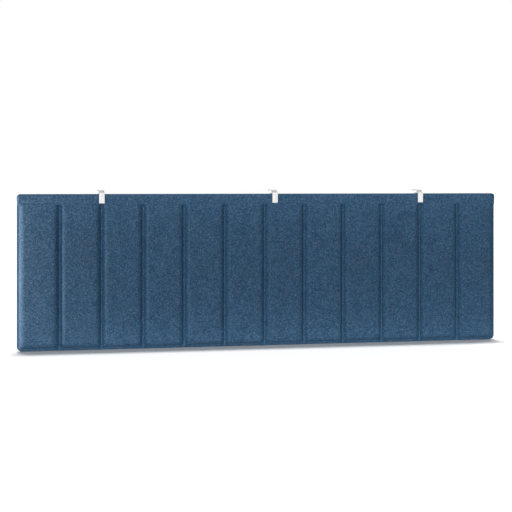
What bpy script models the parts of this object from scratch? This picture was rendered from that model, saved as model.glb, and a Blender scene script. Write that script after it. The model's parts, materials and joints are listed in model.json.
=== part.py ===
"""Desk privacy panel: a moulded felt panel that hangs from a desk's underside.

Frame, in metres: +X runs along the panel to the right, +Y runs from the panel's
front face to its back, +Z is up. The origin is on the desk's underside, above the
middle of the panel's length and thickness, so everything hangs below Z = 0.

The panel is two moulded felt shells bonded at their rims and along the grooves
between the pads. Each pad holds a batt of loose felt, and a batten stiffens the
flat band along the top. Three hangers slide along the top band. Each is a
U-shaped clip with an arm welded on it that screws to the desk, and a clamp screw
whose foot presses the panel against the clip's front leg.
"""

import math

import bmesh
import bpy
from mathutils import Matrix

# Panel
PANEL_WIDTH = 1.450
PANEL_HEIGHT = 0.450
PANEL_THICKNESS = 0.025
PAD_COUNT = 12
SKIN = 0.0032
RIM_WIDTH = 0.0075
SIDE_RIM_WIDTH = 0.0065
FLANK_WIDTH = 0.015
GROOVE_FLOOR = 0.005
SHOULDER_WIDTH = 0.0155
SHOULDER_FULLNESS = 0.72
BAND_HEIGHT = 0.0250
BAND_SHOULDER_WIDTH = 0.0095
BAND_EDGE_RADIUS = 0.005
MOULD_DRAFT = 0.001
TOP_CORNER_RADIUS = 0.0095
BOTTOM_CORNER_RADIUS = 0.014

# What the shells hold
POCKET_WALL_AT_GROOVE = 0.006
POCKET_WALL_AT_RIM = 0.0065
POCKET_WALL_AT_BAND = 0.006
POCKET_BEVEL = 0.005
BATT_CLEARANCE = 0.001
SLOT_END_WALL = 0.016
SLOT_TOP_WALL = 0.0037
SLOT_BOTTOM_WALL = 0.0015
SLOT_BEVEL = 0.002
BATTEN_CLEARANCE = 0.0005

# Hangers
DESK_GAP = 0.0115
HANGER_WIDTH = 0.016
CLIP_SHEET = 0.002
CLIP_FRONT_LEG = 0.027
CLIP_REAR_LEG = 0.029
CLIP_BEND_RADIUS = 0.002
CLIP_TOP_GAP = 0.0005
THROAT_BEHIND_PANEL = 0.010
ARM_SHEET = 0.0025
ARM_BEND_RADIUS = 0.0025
ARM_FOOT_SETBACK = 0.001
ARM_RISER_SETBACK = 0.012
DESK_HOLE_RADIUS = 0.00225
DESK_HOLE_END_DISTANCE = 0.0065
DRIVER_CLEARANCE = 0.0042
LEFT_HANGER_PITCHES = 2.0
RIGHT_HANGER_PITCHES = 10.0
CENTRE_HANGER_OFFSET = 0.030

# Clamp screws
SCREW_DROP = 0.0145
SCREW_RADIUS = 0.003
SCREW_CLEARANCE = 0.0003
NUT_ACROSS_FLATS = 0.010
NUT_THICKNESS = 0.005
CLAMP_PAD_RADIUS = 0.0065
CLAMP_PAD_THICKNESS = 0.004
CLAMP_PAD_SOCKET = 0.0024
KNOB_RADIUS = 0.009
KNOB_LENGTH = 0.008
KNOB_SOCKET = 0.006
KNOB_STANDOFF = 0.001
KNOB_LOBES = 8
KNOB_LOBE_DEPTH = 0.0008
KNOB_BEVEL = 0.001

# Fits
TOUCH_GAP = 0.0003
THROUGH_CUT = 0.002

# Shading and bevels, in degrees between two faces
SHARP_ANGLE = 35
RIM_BEVEL_ANGLE = 60

# Derived sizes
TOP_EDGE = -DESK_GAP
PITCH = PANEL_WIDTH / PAD_COUNT
HALF_WIDTH = PANEL_WIDTH / 2
HALF_THICKNESS = PANEL_THICKNESS / 2
MATING_PLANE = TOUCH_GAP / 2
RIM_LEVEL = MATING_PLANE + SKIN
RELIEF = HALF_THICKNESS - RIM_LEVEL
HOLLOW_DEPTH = HALF_THICKNESS - SKIN
CLIP_FRONT = -(HALF_THICKNESS + TOUCH_GAP + CLIP_SHEET / 2)
CLIP_REAR = HALF_THICKNESS + THROAT_BEHIND_PANEL + CLIP_SHEET / 2
CLIP_WEB = CLIP_TOP_GAP + CLIP_SHEET / 2
CLIP_REAR_FACE = CLIP_REAR + CLIP_SHEET / 2
NUT_FACE = CLIP_REAR_FACE + TOUCH_GAP
KNOB_FACE = NUT_FACE + NUT_THICKNESS + KNOB_STANDOFF
CLAMP_PAD_FACE = HALF_THICKNESS + TOUCH_GAP
SCREW_TIP = CLAMP_PAD_FACE + CLAMP_PAD_THICKNESS - CLAMP_PAD_SOCKET + TOUCH_GAP
SCREW_END = KNOB_FACE + KNOB_SOCKET - TOUCH_GAP
DESK_HOLE = KNOB_FACE + KNOB_LENGTH + DRIVER_CLEARANCE
ARM_END = DESK_HOLE + DESK_HOLE_END_DISTANCE
ARM_FOOT_LEVEL = CLIP_TOP_GAP + CLIP_SHEET + TOUCH_GAP + ARM_SHEET / 2
ARM_PLATE_LEVEL = DESK_GAP - ARM_SHEET / 2
ARM_RADIUS_LIMIT = 0.45 * (ARM_PLATE_LEVEL - ARM_FOOT_LEVEL)
HANGER_PLACES = {
    "left": -HALF_WIDTH + LEFT_HANGER_PITCHES * PITCH,
    "centre": CENTRE_HANGER_OFFSET,
    "right": -HALF_WIDTH + RIGHT_HANGER_PITCHES * PITCH,
}

MATERIALS = {
    "felt": ((0.042, 0.085, 0.135), 0.95, 0.0),
    "batting": ((0.62, 0.63, 0.65), 1.0, 0.0),
    "batten_wood": ((0.55, 0.38, 0.22), 0.8, 0.0),
    "white_coat": ((0.86, 0.86, 0.85), 0.4, 0.0),
    "grey_coat": ((0.62, 0.62, 0.62), 0.45, 0.0),
    "zinc_steel": ((0.55, 0.56, 0.58), 0.35, 1.0),
    "clamp_rubber": ((0.04, 0.04, 0.04), 0.8, 0.0),
    "knob_plastic": ((0.80, 0.80, 0.79), 0.5, 0.0),
}


# ---------------------------------------------------------------- tools


def make_material(name):
    """A Principled material with the piece's colour, roughness and metallic value."""
    colour, roughness, metallic = MATERIALS[name]
    material = bpy.data.materials.new(name)
    material.use_nodes = True
    shader = material.node_tree.nodes["Principled BSDF"]
    shader.inputs["Base Color"].default_value = (*colour, 1.0)
    shader.inputs["Roughness"].default_value = roughness
    shader.inputs["Metallic"].default_value = metallic
    return material


def add_object(name, bm, collection, material=None, parent=None):
    """Turns a bmesh into a named object in a collection and returns it."""
    bmesh.ops.recalc_face_normals(bm, faces=bm.faces)
    mesh = bpy.data.meshes.new(name)
    bm.to_mesh(mesh)
    bm.free()
    mesh.shade_smooth()
    mesh.set_sharp_from_angle(angle=math.radians(SHARP_ANGLE))
    obj = bpy.data.objects.new(name, mesh)
    collection.objects.link(obj)
    if material is not None:
        mesh.materials.append(material)
    if parent is not None:
        obj.parent = parent
    return obj


def add_cutter(name, bm, cutters, parent=None):
    """A guide body for Boolean cuts, left out of the render."""
    cutter = add_object(name, bm, cutters, parent=parent)
    cutter.hide_render = True
    cutter.display_type = "WIRE"
    return cutter


def cut(obj, cutter):
    """Takes the cutter's volume out of the object."""
    modifier = obj.modifiers.new(cutter.name, "BOOLEAN")
    modifier.operation = "DIFFERENCE"
    modifier.solver = "EXACT"
    modifier.object = cutter


def add_box(bm, low, high, bevel=0.0):
    """Adds a box between two corners to a bmesh, with rounded edges if asked."""
    middle = [(a + b) / 2 for a, b in zip(low, high)]
    size = [b - a for a, b in zip(low, high)]
    place = Matrix.Translation(middle) @ Matrix.Diagonal((*size, 1.0))
    made = bmesh.ops.create_cube(bm, size=1.0, matrix=place)
    if bevel:
        edges = {edge for vert in made["verts"] for edge in vert.link_edges}
        bmesh.ops.bevel(
            bm,
            geom=list(edges),
            offset=bevel,
            segments=2,
            profile=0.5,
            affect="EDGES",
        )


def add_rod(bm, radius, start, end, segments=24):
    """Adds a cylinder along Y between two depths, centred on the Y axis."""
    turn = Matrix.Rotation(math.radians(90), 4, "X")
    place = Matrix.Translation((0, (start + end) / 2, 0)) @ turn
    return bmesh.ops.create_cone(
        bm,
        cap_ends=True,
        segments=segments,
        radius1=radius,
        radius2=radius,
        depth=end - start,
        matrix=place,
    )


def rounded_path(points, radius, steps=4):
    """A path in (y, z) whose right-angled corners are turned into arcs."""
    path = [points[0]]
    for before, corner, after in zip(points, points[1:], points[2:]):
        into = [math.copysign(1, c - b) if c != b else 0 for b, c in zip(before, corner)]
        away = [math.copysign(1, a - c) if a != c else 0 for c, a in zip(corner, after)]
        centre = [c - radius * i + radius * o for c, i, o in zip(corner, into, away)]
        for step in range(steps + 1):
            angle = math.pi / 2 * step / steps
            path.append(
                tuple(
                    m - radius * math.cos(angle) * o + radius * math.sin(angle) * i
                    for m, i, o in zip(centre, into, away)
                )
            )
    path.append(points[-1])
    return path


def bent_strip(name, path, width, sheet, collection, material, parent):
    """A strip of sheet metal bent along a path in (y, z), centred on X = 0."""
    bm = bmesh.new()
    row = [bm.verts.new((-width / 2, y, z)) for y, z in path]
    edges = [bm.edges.new(pair) for pair in zip(row, row[1:])]
    pulled = bmesh.ops.extrude_edge_only(bm, edges=edges)["geom"]
    moved = [item for item in pulled if isinstance(item, bmesh.types.BMVert)]
    bmesh.ops.translate(bm, verts=moved, vec=(width, 0, 0))
    strip = add_object(name, bm, collection, material, parent)
    solidify = strip.modifiers.new("sheet", "SOLIDIFY")
    solidify.thickness = sheet
    solidify.offset = 0.0
    solidify.use_even_offset = True
    return strip


# ---------------------------------------------------------------- panel


def shoulder(distance, width):
    """Rise from 0 to 1 over a width, steep at the foot and level at the top."""
    share = min(max(distance / width, 0.0), 1.0)
    return (1 - (1 - share) ** 2) ** SHOULDER_FULLNESS


def groove_places():
    """X of each groove between two pads."""
    return [-HALF_WIDTH + k * PITCH for k in range(1, PAD_COUNT)]


def band_edge_level(distance):
    """Relief that the band's outer edge allows at a distance in from the outline."""
    wall = RELIEF - BAND_EDGE_RADIUS
    if distance <= MOULD_DRAFT:
        return wall * distance / MOULD_DRAFT
    left = max(BAND_EDGE_RADIUS - (distance - MOULD_DRAFT), 0.0)
    return wall + math.sqrt(BAND_EDGE_RADIUS**2 - left**2)


def relief(x, drop):
    """Height of the moulded face above the rim, at x and a drop below the top edge."""
    side = HALF_WIDTH - abs(x)
    groove = min(abs(x - place) for place in groove_places())
    pad = shoulder(groove - GROOVE_FLOOR / 2, SHOULDER_WIDTH)
    pad *= shoulder(side - SIDE_RIM_WIDTH, SHOULDER_WIDTH)
    pad *= shoulder(PANEL_HEIGHT - drop - RIM_WIDTH, FLANK_WIDTH)
    band = shoulder(BAND_HEIGHT + BAND_SHOULDER_WIDTH - drop, BAND_SHOULDER_WIDTH)
    level = RELIEF * (1 - (1 - pad) * (1 - band))
    return min(level, band_edge_level(min(side, drop)))


def column_stations():
    """X of each column of the moulded face, close together where it curves."""
    edge = [0.0, MOULD_DRAFT, MOULD_DRAFT + 0.3 * BAND_EDGE_RADIUS]
    edge += [MOULD_DRAFT + BAND_EDGE_RADIUS, SIDE_RIM_WIDTH, TOP_CORNER_RADIUS]
    edge += [SIDE_RIM_WIDTH + share * SHOULDER_WIDTH for share in (0.6, 1.0)]
    edge += [BOTTOM_CORNER_RADIUS]
    shares = (0.0, 0.2, 0.5, 1.0)
    side = [GROOVE_FLOOR / 2 + share * SHOULDER_WIDTH for share in shares]
    stations = [-HALF_WIDTH + distance for distance in edge]
    for place in groove_places():
        stations += [place - distance for distance in side]
        stations += [place + distance for distance in side]
    stations += [HALF_WIDTH - distance for distance in edge]
    return sorted(set(stations))


def row_stations():
    """Drop below the top edge of each row of the moulded face."""
    top = [0.0, MOULD_DRAFT, MOULD_DRAFT + 0.3 * BAND_EDGE_RADIUS]
    top += [MOULD_DRAFT + BAND_EDGE_RADIUS, TOP_CORNER_RADIUS, BAND_HEIGHT]
    top += [BAND_HEIGHT + share * BAND_SHOULDER_WIDTH for share in (0.5, 0.85, 1.0)]
    foot = [0.0, RIM_WIDTH, BOTTOM_CORNER_RADIUS]
    foot += [RIM_WIDTH + share * FLANK_WIDTH for share in (0.2, 0.6, 1.0)]
    return sorted(set(top + [PANEL_HEIGHT - distance for distance in foot]))


def round_the_corner(x, drop):
    """Moves a point near a corner so that the outline there follows an arc."""
    top = drop < PANEL_HEIGHT / 2
    radius = TOP_CORNER_RADIUS if top else BOTTOM_CORNER_RADIUS
    from_side = radius - (HALF_WIDTH - abs(x))
    from_end = radius - (drop if top else PANEL_HEIGHT - drop)
    if from_side <= 0 or from_end <= 0:
        return x, drop
    across = from_side / radius
    along = from_end / radius
    side = radius * across * math.sqrt(1 - along**2 / 2)
    end = radius * along * math.sqrt(1 - across**2 / 2)
    new_x = math.copysign(HALF_WIDTH - radius + side, x)
    new_drop = radius - end if top else PANEL_HEIGHT - radius + end
    return new_x, new_drop


def moulded_blank(facing):
    """Half of the panel as a solid, from the mating plane out to the moulded face.

    facing is -1 for the front half and 1 for the back half.
    """
    columns = column_stations()
    rows = row_stations()
    bm = bmesh.new()
    bmesh.ops.create_grid(
        bm, x_segments=len(columns) - 1, y_segments=len(rows) - 1, size=1.0
    )
    flat = list(bm.verts)
    lifted = bmesh.ops.extrude_face_region(bm, geom=list(bm.faces))["geom"]
    lifted = {item for item in lifted if isinstance(item, bmesh.types.BMVert)}
    for vert in flat + list(lifted):
        column = round((vert.co.x + 1) / 2 * (len(columns) - 1))
        row = round((1 - vert.co.y) / 2 * (len(rows) - 1))
        x, drop = columns[column], rows[row]
        depth = MATING_PLANE
        if vert in lifted:
            depth = RIM_LEVEL + relief(x, drop)
        x, drop = round_the_corner(x, drop)
        vert.co = (x, facing * depth, TOP_EDGE - drop)
    mating = [face for face in bm.faces if all(v not in lifted for v in face.verts)]
    bmesh.ops.dissolve_faces(bm, faces=mating)
    bmesh.ops.triangulate(bm, faces=[face for face in bm.faces if len(face.verts) > 4])
    return bm


def pocket_span(index):
    """Lowest and highest X of the pocket behind one pad."""
    low = -HALF_WIDTH + index * PITCH + GROOVE_FLOOR / 2 + POCKET_WALL_AT_GROOVE
    high = -HALF_WIDTH + (index + 1) * PITCH - GROOVE_FLOOR / 2 - POCKET_WALL_AT_GROOVE
    if index == 0:
        low = -HALF_WIDTH + SIDE_RIM_WIDTH + POCKET_WALL_AT_RIM
    if index == PAD_COUNT - 1:
        high = HALF_WIDTH - SIDE_RIM_WIDTH - POCKET_WALL_AT_RIM
    return low, high


def pocket_corners(index, clearance):
    """Corners of the box in one pad's pocket, a clearance in from its walls."""
    low, high = pocket_span(index)
    bottom = TOP_EDGE - PANEL_HEIGHT + RIM_WIDTH + POCKET_WALL_AT_RIM
    top = TOP_EDGE - BAND_HEIGHT - POCKET_WALL_AT_BAND
    depth = HOLLOW_DEPTH - clearance
    return (
        (low + clearance, -depth, bottom + clearance),
        (high - clearance, depth, top - clearance),
    )


def slot_corners(clearance):
    """Corners of the box in the batten's slot, a clearance in from its walls."""
    reach = HALF_WIDTH - SLOT_END_WALL - clearance
    bottom = TOP_EDGE - BAND_HEIGHT + SLOT_BOTTOM_WALL + clearance
    top = TOP_EDGE - SLOT_TOP_WALL - clearance
    depth = HOLLOW_DEPTH - clearance
    return (-reach, -depth, bottom), (reach, depth, top)


def make_shells(parts, cutters, materials):
    """The two felt shells, hollowed for the batts and the batten."""
    bm = bmesh.new()
    for index in range(PAD_COUNT):
        add_box(bm, *pocket_corners(index, 0.0), bevel=POCKET_BEVEL)
    add_box(bm, *slot_corners(0.0), bevel=SLOT_BEVEL)
    hollows = add_cutter("shell_hollows", bm, cutters)
    for name, facing in (("front_shell", -1), ("back_shell", 1)):
        shell = add_object(name, moulded_blank(facing), parts, materials["felt"])
        cut(shell, hollows)


def make_batts(parts, materials):
    """One batt of loose felt in each pad."""
    for index in range(PAD_COUNT):
        low, high = pocket_corners(index, BATT_CLEARANCE)
        middle = [(a + b) / 2 for a, b in zip(low, high)]
        half = [(b - a) / 2 for a, b in zip(low, high)]
        bm = bmesh.new()
        add_box(bm, [-h for h in half], half, bevel=POCKET_BEVEL)
        batt = add_object(f"pad_batt_{index + 1:02d}", bm, parts, materials["batting"])
        batt.location = middle


def make_batten(parts, materials):
    """The stiffening batten inside the top band."""
    bm = bmesh.new()
    add_box(bm, *slot_corners(BATTEN_CLEARANCE), bevel=SLOT_BEVEL)
    add_object("top_batten", bm, parts, materials["batten_wood"])


# ---------------------------------------------------------------- hangers


def make_clip(side, hanger, parts, cutters, materials):
    """The U-shaped clip over the top band, with the screw's hole in its rear leg."""
    points = [
        (CLIP_FRONT, -CLIP_FRONT_LEG),
        (CLIP_FRONT, CLIP_WEB),
        (CLIP_REAR, CLIP_WEB),
        (CLIP_REAR, -CLIP_REAR_LEG),
    ]
    path = rounded_path(points, CLIP_BEND_RADIUS)
    coat = materials["white_coat"]
    clip = bent_strip(f"clip_{side}", path, HANGER_WIDTH, CLIP_SHEET, parts, coat, hanger)
    clip.location.z = TOP_EDGE
    bm = bmesh.new()
    start = CLIP_REAR - CLIP_SHEET / 2 - THROUGH_CUT
    add_rod(bm, SCREW_RADIUS + SCREW_CLEARANCE, start, CLIP_REAR_FACE + THROUGH_CUT)
    hole = add_cutter(f"clip_hole_{side}", bm, cutters, hanger)
    hole.location.z = TOP_EDGE - SCREW_DROP
    cut(clip, hole)


def make_arm(side, hanger, parts, cutters, materials):
    """The arm welded on the clip, whose plate screws to the desk's underside."""
    riser = -HALF_THICKNESS + ARM_RISER_SETBACK
    points = [
        (-HALF_THICKNESS + ARM_FOOT_SETBACK, ARM_FOOT_LEVEL),
        (riser, ARM_FOOT_LEVEL),
        (riser, ARM_PLATE_LEVEL),
        (ARM_END, ARM_PLATE_LEVEL),
    ]
    path = rounded_path(points, min(ARM_BEND_RADIUS, ARM_RADIUS_LIMIT))
    coat = materials["grey_coat"]
    arm = bent_strip(f"arm_{side}", path, HANGER_WIDTH, ARM_SHEET, parts, coat, hanger)
    arm.location.z = TOP_EDGE
    bm = bmesh.new()
    bmesh.ops.create_cone(
        bm,
        cap_ends=True,
        segments=24,
        radius1=DESK_HOLE_RADIUS,
        radius2=DESK_HOLE_RADIUS,
        depth=ARM_SHEET + 2 * THROUGH_CUT,
    )
    hole = add_cutter(f"arm_hole_{side}", bm, cutters, hanger)
    hole.location = (0, DESK_HOLE, -ARM_SHEET / 2)
    cut(arm, hole)


def make_nut(side, axis, parts, cutters, materials):
    """The hexagonal nut welded behind the clip's rear leg."""
    bm = bmesh.new()
    corner_radius = NUT_ACROSS_FLATS / 2 / math.cos(math.pi / 6)
    add_rod(bm, corner_radius, NUT_FACE, NUT_FACE + NUT_THICKNESS, segments=6)
    nut = add_object(f"clamp_nut_{side}", bm, parts, materials["zinc_steel"], axis)
    bm = bmesh.new()
    start = NUT_FACE - THROUGH_CUT
    end = NUT_FACE + NUT_THICKNESS + THROUGH_CUT
    add_rod(bm, SCREW_RADIUS + SCREW_CLEARANCE, start, end)
    cut(nut, add_cutter(f"nut_bore_{side}", bm, cutters, axis))


def make_clamp_pad(side, axis, parts, cutters, materials):
    """The round foot on the screw's tip that presses on the panel's back."""
    bm = bmesh.new()
    back = CLAMP_PAD_FACE + CLAMP_PAD_THICKNESS
    add_rod(bm, CLAMP_PAD_RADIUS, CLAMP_PAD_FACE, back, segments=32)
    rubber = materials["clamp_rubber"]
    pad = add_object(f"clamp_pad_{side}", bm, parts, rubber, axis)
    bm = bmesh.new()
    floor = back - CLAMP_PAD_SOCKET
    add_rod(bm, SCREW_RADIUS + SCREW_CLEARANCE, floor, back + THROUGH_CUT)
    cut(pad, add_cutter(f"pad_socket_{side}", bm, cutters, axis))


def make_screw(side, axis, parts, materials):
    """The clamp screw's plain stem, from the pad's socket to the knob's."""
    bm = bmesh.new()
    add_rod(bm, SCREW_RADIUS, SCREW_TIP, SCREW_END)
    add_object(f"clamp_screw_{side}", bm, parts, materials["zinc_steel"], axis)


def make_knob(side, axis, parts, cutters, materials):
    """The lobed knob pressed on the screw's outer end."""
    bm = bmesh.new()
    end = KNOB_FACE + KNOB_LENGTH
    made = add_rod(bm, KNOB_RADIUS, KNOB_FACE, end, segments=6 * KNOB_LOBES)
    for vert in made["verts"]:
        angle = math.atan2(vert.co.z, vert.co.x)
        wave = KNOB_LOBE_DEPTH * (1 - math.cos(KNOB_LOBES * angle)) / 2
        share = 1 - wave / KNOB_RADIUS
        vert.co.x *= share
        vert.co.z *= share
    plastic = materials["knob_plastic"]
    knob = add_object(f"clamp_knob_{side}", bm, parts, plastic, axis)
    bevel = knob.modifiers.new("rounded_rims", "BEVEL")
    bevel.width = KNOB_BEVEL
    bevel.segments = 1
    bevel.limit_method = "ANGLE"
    bevel.angle_limit = math.radians(RIM_BEVEL_ANGLE)
    bm = bmesh.new()
    floor = KNOB_FACE + KNOB_SOCKET
    add_rod(bm, SCREW_RADIUS + SCREW_CLEARANCE, KNOB_FACE - THROUGH_CUT, floor)
    cut(knob, add_cutter(f"knob_socket_{side}", bm, cutters, axis))


def make_hanger(side, x, parts, cutters, materials):
    """One hanger, on an empty at its place along the panel.

    Its clamp's pieces hang on a second empty, which lies on the screw's axis.
    """
    hanger = bpy.data.objects.new(f"hanger_{side}", None)
    parts.objects.link(hanger)
    hanger.location.x = x
    axis = bpy.data.objects.new(f"screw_axis_{side}", None)
    parts.objects.link(axis)
    axis.parent = hanger
    axis.location.z = TOP_EDGE - SCREW_DROP
    make_clip(side, hanger, parts, cutters, materials)
    make_arm(side, hanger, parts, cutters, materials)
    make_nut(side, axis, parts, cutters, materials)
    make_clamp_pad(side, axis, parts, cutters, materials)
    make_screw(side, axis, parts, materials)
    make_knob(side, axis, parts, cutters, materials)


def main():
    """Clears the scene and builds every piece."""
    for obj in list(bpy.data.objects):
        bpy.data.objects.remove(obj, do_unlink=True)
    parts = bpy.data.collections.new("desk_privacy_panel")
    cutters = bpy.data.collections.new("cutters")
    bpy.context.scene.collection.children.link(parts)
    bpy.context.scene.collection.children.link(cutters)
    materials = {name: make_material(name) for name in MATERIALS}
    make_shells(parts, cutters, materials)
    make_batts(parts, materials)
    make_batten(parts, materials)
    for side, x in HANGER_PLACES.items():
        make_hanger(side, x, parts, cutters, materials)
    bpy.context.view_layer.update()


main()
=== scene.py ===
"""Looks of the desk privacy panel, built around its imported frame.

The frame's +X runs along the panel, +Y from its front to its back, and +Z up, in
metres. Z = 0 is the underside of the desk that the panel hangs from. Each class
below makes the finished pieces of one sub-assembly and dresses them.
"""

import json
import logging
import math
from collections.abc import Callable, Iterable, Sequence
from dataclasses import dataclass
from enum import Enum

import bmesh
import bpy
from mathutils import Matrix, Vector, noise

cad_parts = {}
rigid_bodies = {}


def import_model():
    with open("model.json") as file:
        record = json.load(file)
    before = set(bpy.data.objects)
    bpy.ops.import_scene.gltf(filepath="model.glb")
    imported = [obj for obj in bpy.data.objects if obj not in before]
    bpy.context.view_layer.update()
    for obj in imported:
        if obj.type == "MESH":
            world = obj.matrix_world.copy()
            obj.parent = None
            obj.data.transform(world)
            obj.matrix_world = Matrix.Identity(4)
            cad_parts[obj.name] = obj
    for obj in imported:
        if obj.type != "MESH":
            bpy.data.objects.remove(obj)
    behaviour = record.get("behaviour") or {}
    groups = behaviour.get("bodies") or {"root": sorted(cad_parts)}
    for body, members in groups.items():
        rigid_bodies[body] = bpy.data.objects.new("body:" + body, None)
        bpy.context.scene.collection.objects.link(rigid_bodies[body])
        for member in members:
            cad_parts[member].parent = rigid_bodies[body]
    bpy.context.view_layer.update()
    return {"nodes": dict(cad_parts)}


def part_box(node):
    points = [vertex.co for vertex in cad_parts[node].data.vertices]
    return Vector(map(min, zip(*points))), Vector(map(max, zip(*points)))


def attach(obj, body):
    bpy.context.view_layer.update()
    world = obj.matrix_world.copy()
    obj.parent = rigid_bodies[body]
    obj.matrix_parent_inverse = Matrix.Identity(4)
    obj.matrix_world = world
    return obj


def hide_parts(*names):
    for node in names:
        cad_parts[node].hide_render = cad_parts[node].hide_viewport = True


log = logging.getLogger("privacy_panel")

Colour = tuple[float, float, float]
Place = tuple[float, float, float]
Flat = tuple[float, float]
Ring = list[Place]
Node = bpy.types.Node
Socket = bpy.types.NodeSocket
Piece = bpy.types.Object


class Facing(Enum):
    """Which way a half of the panel looks, as the sign of its outward Y."""

    FRONT = -1
    BACK = 1


class Side(Enum):
    """The three hangers, by their place along the panel."""

    LEFT = "left"
    CENTRE = "centre"
    RIGHT = "right"


# ---- node helpers


class Graph:
    """Small wrapper that adds nodes and links to one node tree."""

    def __init__(self, tree: bpy.types.NodeTree) -> None:
        """Keeps the tree to build in."""
        self.tree = tree

    def feed(self, source: object, target: Socket) -> None:
        """Links an output to an input, or sets the input to a plain value."""
        if isinstance(source, Socket):
            self.tree.links.new(source, target)
        else:
            target.default_value = source

    def fill(self, node: Node, **values: object) -> Node:
        """Feeds several inputs of a node.

        Args:
            node: The node.
            values: Sockets or plain values, under the inputs' names with
                underscores for spaces.

        Returns:
            The same node.
        """
        for key, value in values.items():
            self.feed(value, node.inputs[key.replace("_", " ")])
        return node

    def add(self, kind: str, **settings: object) -> Node:
        """Adds a node.

        Args:
            kind: The node's type, such as ShaderNodeTexNoise.
            settings: Node properties, and inputs in the way that fill takes them.

        Returns:
            The new node.
        """
        node = self.tree.nodes.new(kind)
        for key, value in settings.items():
            if hasattr(node, key):
                setattr(node, key, value)
            else:
                self.fill(node, **{key: value})
        return node

    def maths(
        self, operation: str, first: Socket, second: Socket | float, clamp: bool = False
    ) -> Socket:
        """Adds a Math node.

        Args:
            operation: The node's operation, such as MULTIPLY.
            first: A socket.
            second: A socket or a number.
            clamp: Whether the result is kept between 0 and 1.

        Returns:
            The node's output.
        """
        node = self.add("ShaderNodeMath", operation=operation, use_clamp=clamp)
        self.feed(first, node.inputs[0])
        self.feed(second, node.inputs[1])
        return node.outputs[0]

    def stretch(self, source: Socket, low: float, gain: float) -> Socket:
        """Takes a low point off a value and multiplies it, kept between 0 and 1."""
        return self.maths("MULTIPLY", self.maths("SUBTRACT", source, low), gain, clamp=True)

    def noise(
        self,
        vector: Socket,
        scale: Socket | float,
        detail: float,
        roughness: float = 0.5,
        distortion: float = 0.0,
    ) -> Socket:
        """Adds a Noise Texture node, with its inputs as named there, and gives its value."""
        node = self.add(
            "ShaderNodeTexNoise",
            Vector=vector,
            Scale=scale,
            Detail=detail,
            Roughness=roughness,
            Distortion=distortion,
        )
        return node.outputs["Fac"]

    def bump(self, height: Socket, depth: float, strength: float = 1.0) -> Socket:
        """Adds a Bump node and gives its normal; depth is in metres."""
        node = self.add("ShaderNodeBump", Strength=strength, Distance=depth, Height=height)
        return node.outputs["Normal"]

    def ramp(self, source: Socket, stops: Sequence[tuple[float, Colour]]) -> Socket:
        """Adds a colour ramp.

        Args:
            source: What drives the ramp.
            stops: Positions and colours, in order.

        Returns:
            The ramp's colour output.
        """
        node = self.add("ShaderNodeValToRGB", Fac=source)
        while len(node.color_ramp.elements) < len(stops):
            node.color_ramp.elements.new(1.0)
        for element, (position, colour) in zip(node.color_ramp.elements, stops):
            element.position = position
            element.color = (*colour, 1.0)
        return node.outputs["Color"]

    def mix(
        self,
        share: Socket | float,
        first: Socket | Colour,
        second: Socket | Colour,
        blend: str = "MIX",
    ) -> Socket:
        """Adds a colour Mix node.

        Args:
            share: How much of the second colour, as a socket or a number.
            first: A colour or a socket.
            second: A colour or a socket.
            blend: The node's blend type.

        Returns:
            The mixed colour.
        """
        node = self.add("ShaderNodeMix", data_type="RGBA", blend_type=blend)
        self.feed(share, node.inputs[0])
        for index, colour in ((6, first), (7, second)):
            plain = not isinstance(colour, Socket)
            self.feed((*colour, 1.0) if plain else colour, node.inputs[index])
        return node.outputs[2]


def new_group(
    name: str, values: dict[str, float], outputs: Sequence[str]
) -> tuple[Graph, Node, Node]:
    """Starts a shader node group with a Vector input.

    Args:
        name: The group's name.
        values: Names and default values of its other inputs.
        outputs: Names of its outputs, each running from 0 to 1.

    Returns:
        The group's graph, its input node and its output node.
    """
    tree = bpy.data.node_groups.new(name, "ShaderNodeTree")
    face = tree.interface
    face.new_socket("Vector", in_out="INPUT", socket_type="NodeSocketVector")
    for label, value in values.items():
        socket = face.new_socket(label, in_out="INPUT", socket_type="NodeSocketFloat")
        socket.default_value = value
    for label in outputs:
        face.new_socket(label, in_out="OUTPUT", socket_type="NodeSocketFloat")
    graph = Graph(tree)
    return graph, graph.add("NodeGroupInput"), graph.add("NodeGroupOutput")


def fibre_grain_group() -> bpy.types.NodeTree:
    """The look of pressed short fibres: lying strands, clumps and cloudy mottling.

    Returns:
        A group with Vector and Fineness in, and Strands, Clumps, Mottle and
        Height out.
    """
    graph, given, result = new_group(
        "fibre_grain", {"Fineness": 1.0}, ("Strands", "Clumps", "Mottle", "Height")
    )
    scaled = graph.add(
        "ShaderNodeVectorMath",
        operation="SCALE",
        Vector=given.outputs["Vector"],
        Scale=given.outputs["Fineness"],
    ).outputs[0]
    strands = []
    for turn, fineness in ((0.35, 1500.0), (1.45, 1300.0), (2.50, 1400.0)):
        lying = graph.add(
            "ShaderNodeMapping",
            vector_type="TEXTURE",
            Rotation=(0.4 * turn, turn, 0.7 * turn),
            Scale=(6.0, 1.0, 1.0),
            Vector=scaled,
        )
        strands.append(graph.noise(lying.outputs[0], fineness, 2.0, distortion=0.6))
    top = graph.maths("MAXIMUM", graph.maths("MAXIMUM", strands[0], strands[1]), strands[2])
    crisp = graph.stretch(top, 0.5, 3.2)
    clumps = graph.stretch(graph.noise(scaled, 270.0, 5.0, 0.66, 0.3), 0.3, 2.5)
    mottle = graph.stretch(graph.noise(scaled, 38.0, 3.0, 0.55), 0.3, 2.5)
    height = graph.maths(
        "ADD", graph.maths("MULTIPLY", crisp, 0.55), graph.maths("MULTIPLY", clumps, 0.45)
    )
    graph.fill(result, Strands=crisp, Clumps=clumps, Mottle=mottle, Height=height)
    return graph.tree


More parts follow.
